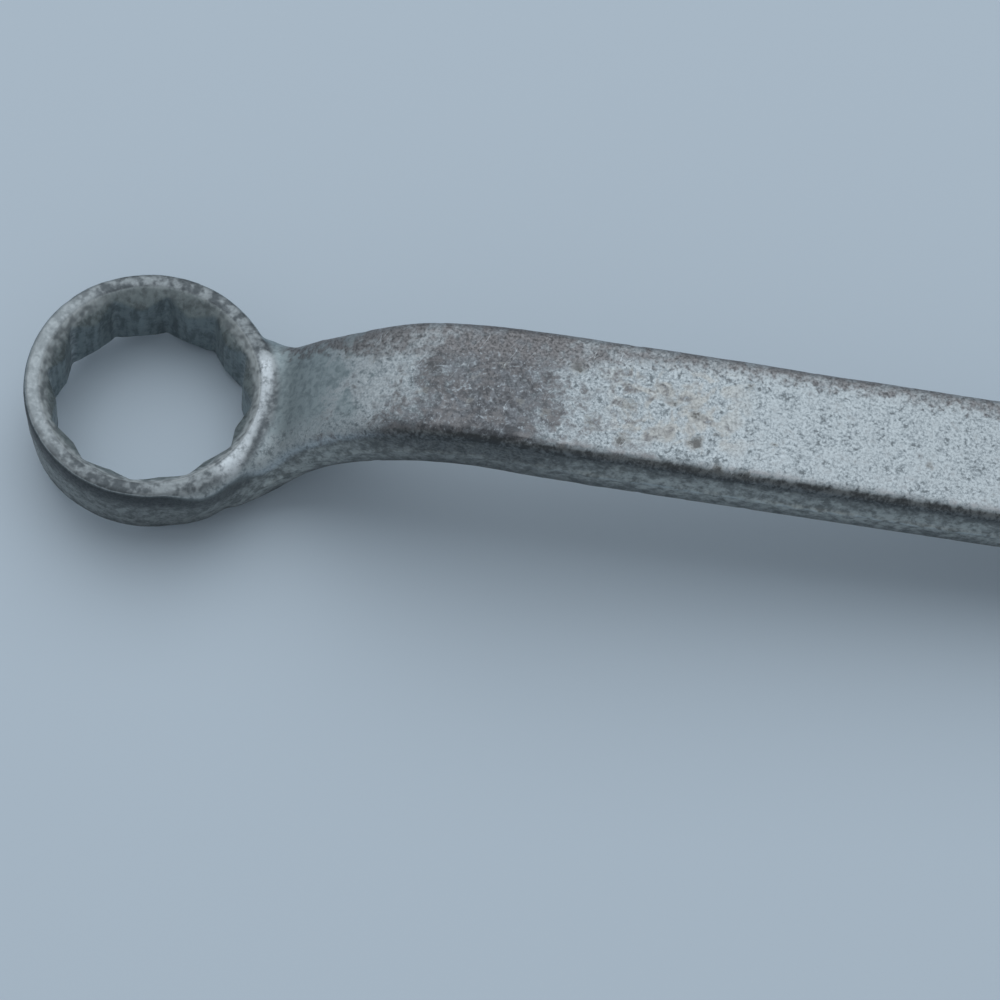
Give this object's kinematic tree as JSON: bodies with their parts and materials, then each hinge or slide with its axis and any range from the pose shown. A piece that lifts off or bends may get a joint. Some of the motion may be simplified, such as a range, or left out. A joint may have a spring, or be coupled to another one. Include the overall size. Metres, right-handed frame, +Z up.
{
  "type": "combination wrench",
  "caption": "Cranked combination wrench with a twelve-point ring on a deep offset neck and an angled open jaw, in worn dull zinc-grey forged steel.",
  "frame": {"origin": "on the table, under the centre of the wrench's bounding box as it lies at rest on the ring's lower edge and the two jaw tips", "axes": "+X along the shank from the ring to the open end, +Z up from the table, +Y to the left of the shank"},
  "size_m": [0.205, 0.0356, 0.0183],
  "materials": {
    "ring_head": "worn dull zinc-grey steel, brighter on the rim",
    "offset_neck": "dull zinc-grey steel with brown staining on the bend",
    "shank": "dull zinc-grey steel with fine dark speckle",
    "open_end_head": "worn dull zinc-grey steel, brighter on the jaw faces"
  },
  "bodies": {
    "root": {"ring_head": "ring_head", "offset_neck": "offset_neck", "shank": "shank", "open_end_head": "open_end_head"}
  },
  "joints": []
}
